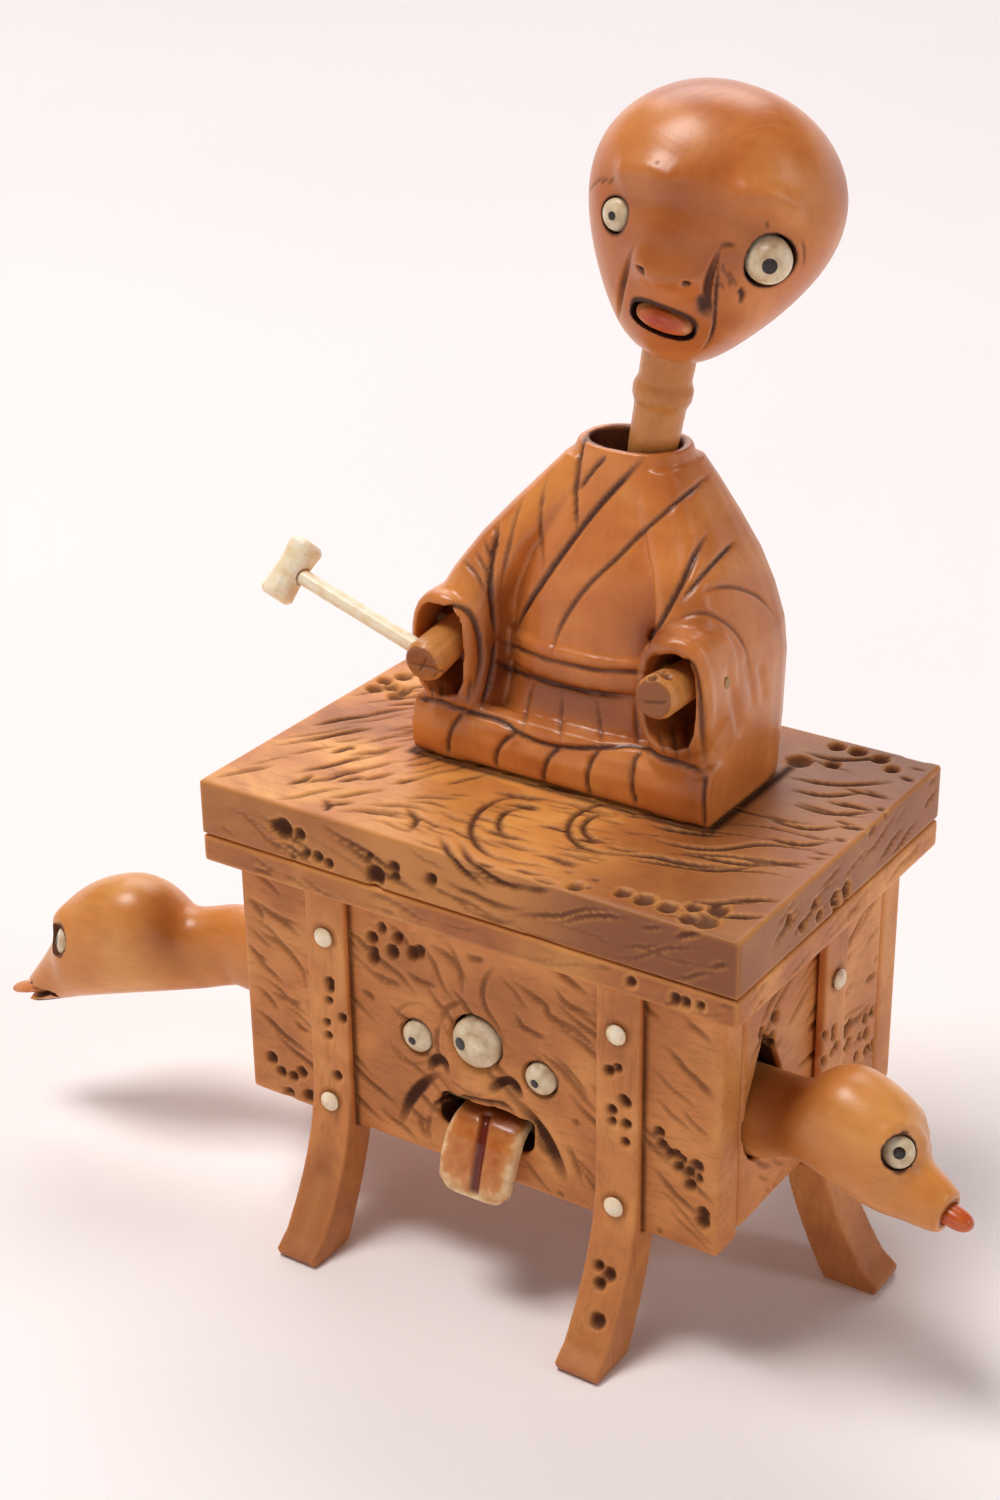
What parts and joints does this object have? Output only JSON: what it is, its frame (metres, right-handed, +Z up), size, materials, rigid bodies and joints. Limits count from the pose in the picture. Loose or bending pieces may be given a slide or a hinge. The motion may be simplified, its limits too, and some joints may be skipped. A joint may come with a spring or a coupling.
{
  "type": "crank automaton toy",
  "caption": "Carved wooden automaton: robed figure with mallet on a legged chest; a crank works its head, arms, face and side heads.",
  "frame": {"origin": "middle of the footprint box, on the surface that the legs stand on", "axes": "+Z up, -Y the chest's face and the figure's front, +X the side with the torn hole"},
  "size_m": [0.1384, 0.0672, 0.1432],
  "materials": {
    "chest_wood": "carved, gouged grain, satin oil polish",
    "robe_boxwood": "carved boxwood, stained, satin polish",
    "creature_boxwood": "smooth boxwood, satin polish",
    "inner_wood": "plain matt wood",
    "bone": "polished bone",
    "stained_bone": "bone, stained orange red, polished"
  },
  "bodies": {
    "chest": {"lid_board": "chest_wood", "lid_under_board": "chest_wood", "front_wall": "chest_wood", "back_wall": "chest_wood", "left_wall": "chest_wood", "right_wall": "chest_wood", "bottom_board": "chest_wood", "front_left_leg": "chest_wood", "front_right_leg": "chest_wood", "back_left_leg": "chest_wood", "back_right_leg": "chest_wood", "left_leg": "chest_wood", "right_leg": "chest_wood", "front_left_upper_peg": "bone", "front_left_lower_peg": "bone", "front_right_upper_peg": "bone", "front_right_lower_peg": "bone", "back_left_upper_peg": "bone", "back_left_lower_peg": "bone", "back_right_upper_peg": "bone", "back_right_lower_peg": "bone", "left_upper_peg": "bone", "left_lower_peg": "bone", "right_upper_peg": "bone", "right_lower_peg": "bone", "left_eye": "bone", "right_eye": "bone", "tongue_pin": "inner_wood", "bearing_block": "inner_wood", "robe": "robe_boxwood", "neck_pin": "inner_wood", "mallet_arm_pin": "inner_wood", "empty_arm_pin": "inner_wood"},
    "crank": {"crank_shaft": "inner_wood", "crank_disc": "inner_wood", "crank_knob": "inner_wood"},
    "monsters": {"slide_bar": "inner_wood", "left_monster": "creature_boxwood", "right_monster": "creature_boxwood", "left_monster_front_eye": "bone", "left_monster_back_eye": "bone", "right_monster_front_eye": "bone", "right_monster_back_eye": "bone", "left_monster_tongue": "stained_bone", "right_monster_tongue": "stained_bone"},
    "centre_eye": {"centre_eye": "bone"},
    "chest_tongue": {"chest_tongue": "stained_bone"},
    "lift": {"lift_rod": "inner_wood", "lift_crossbar": "inner_wood"},
    "figure_head": {"neck": "robe_boxwood", "head": "robe_boxwood", "fixed_eye": "bone"},
    "popping_eye": {"popping_eye": "bone"},
    "mouth_tongue": {"mouth_tongue": "stained_bone"},
    "mallet_arm": {"mallet_arm": "robe_boxwood", "mallet_handle": "bone", "mallet_head": "bone"},
    "empty_arm": {"empty_arm": "robe_boxwood"}
  },
  "joints": [
    {"name": "neck_sway", "type": "hinge", "parent": "chest", "child": "figure_head", "pos_m": [0.00867, 0.0114, 0.087], "axis": [0, -1, 0], "range_deg": [0, 20.36]},
    {"name": "crank_turn", "type": "hinge", "parent": "chest", "child": "crank", "pos_m": [0.00667, 0, 0.036], "axis": [0, -1, 0], "range_deg": [0, 90]},
    {"name": "monster_slide", "type": "slide", "parent": "chest", "child": "monsters", "axis": [1, 0, 0], "range_m": [0, 0.00919]},
    {"name": "centre_eye_pop", "type": "slide", "parent": "chest", "child": "centre_eye", "axis": [0, -1, 0], "range_m": [0, 0.002]},
    {"name": "chest_tongue_wag", "type": "hinge", "parent": "chest", "child": "chest_tongue", "pos_m": [0.00947, -0.01975, 0.0238], "axis": [-1, 0, 0], "range_deg": [0, 18]},
    {"name": "lift_slide", "type": "slide", "parent": "chest", "child": "lift", "axis": [0, 0, 1], "range_m": [0, 0.00311]},
    {"name": "eye_pop", "type": "slide", "parent": "figure_head", "child": "popping_eye", "axis": [0.7842, -0.5712, -0.2425], "range_m": [0, 0.0016]},
    {"name": "mouth_tongue_out", "type": "slide", "parent": "figure_head", "child": "mouth_tongue", "axis": [0.2311, -0.9703, -0.0715], "range_m": [0, 0.0012]},
    {"name": "mallet_arm_swing", "type": "hinge", "parent": "chest", "child": "mallet_arm", "pos_m": [-0.00903, 0.0003, 0.0768], "axis": [1, 0, 0], "range_deg": [0, 20.28]},
    {"name": "empty_arm_swing", "type": "hinge", "parent": "chest", "child": "empty_arm", "pos_m": [0.02367, -0.0014, 0.0782], "axis": [1, 0, 0], "range_deg": [0, 17.01]}
  ],
  "couplings": [
    {"joint": "crank_turn", "follows": "neck_sway", "ratio": 4.4195},
    {"joint": "monster_slide", "follows": "neck_sway", "m_per_rad": 0.025863},
    {"joint": "centre_eye_pop", "follows": "neck_sway", "m_per_rad": 0.0056271},
    {"joint": "chest_tongue_wag", "follows": "neck_sway", "ratio": 0.88391},
    {"joint": "lift_slide", "follows": "neck_sway", "m_per_rad": 0.0087538},
    {"joint": "eye_pop", "follows": "neck_sway", "m_per_rad": 0.0045017},
    {"joint": "mouth_tongue_out", "follows": "neck_sway", "m_per_rad": 0.0033762},
    {"joint": "mallet_arm_swing", "follows": "neck_sway", "ratio": 0.99566},
    {"joint": "empty_arm_swing", "follows": "neck_sway", "ratio": 0.83551}
  ]
}
